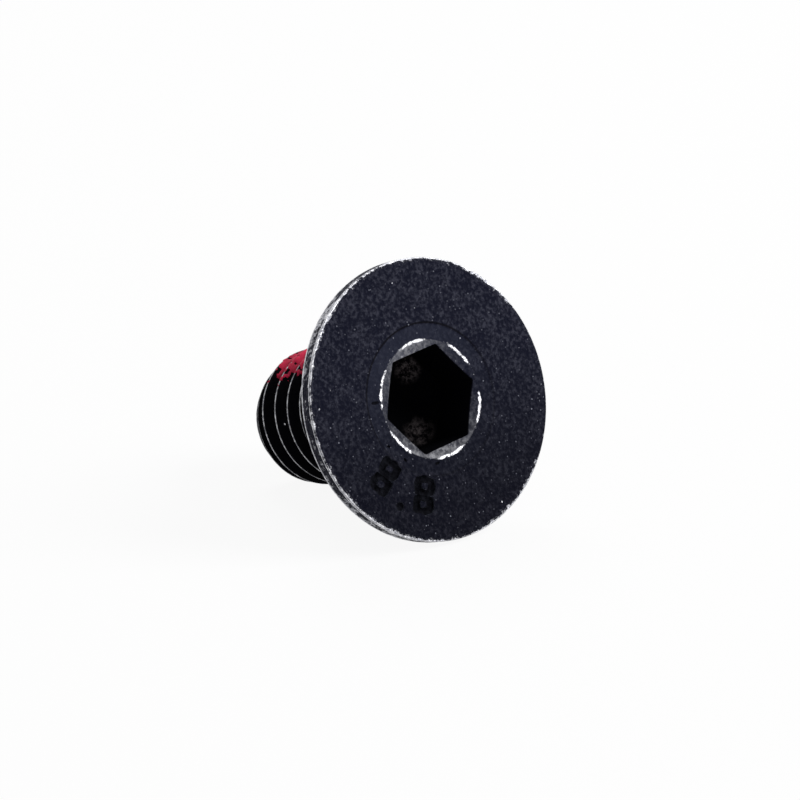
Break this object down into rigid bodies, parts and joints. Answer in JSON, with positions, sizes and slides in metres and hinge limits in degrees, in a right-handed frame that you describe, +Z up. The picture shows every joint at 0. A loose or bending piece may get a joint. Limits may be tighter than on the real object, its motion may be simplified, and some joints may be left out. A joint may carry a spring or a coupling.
{
  "type": "countersunk hexagon socket screw",
  "caption": "Short black countersunk machine screw with a hexagon socket, a right-hand metric thread and a red dried thread-lock patch, lying on its side.",
  "frame": {"origin": "on the surface that the screw lies on, under the middle of the lying screw", "axes": "+Z up, the tip points to -X and slightly down, the head faces +X and slightly up"},
  "size_m": [0.0122, 0.0116, 0.0111],
  "materials": {
    "black_oxide_steel": "satin",
    "dried_thread_lock": "satin"
  },
  "bodies": {
    "root": {"screw": "black_oxide_steel", "thread_lock_patch": "dried_thread_lock"}
  },
  "joints": []
}
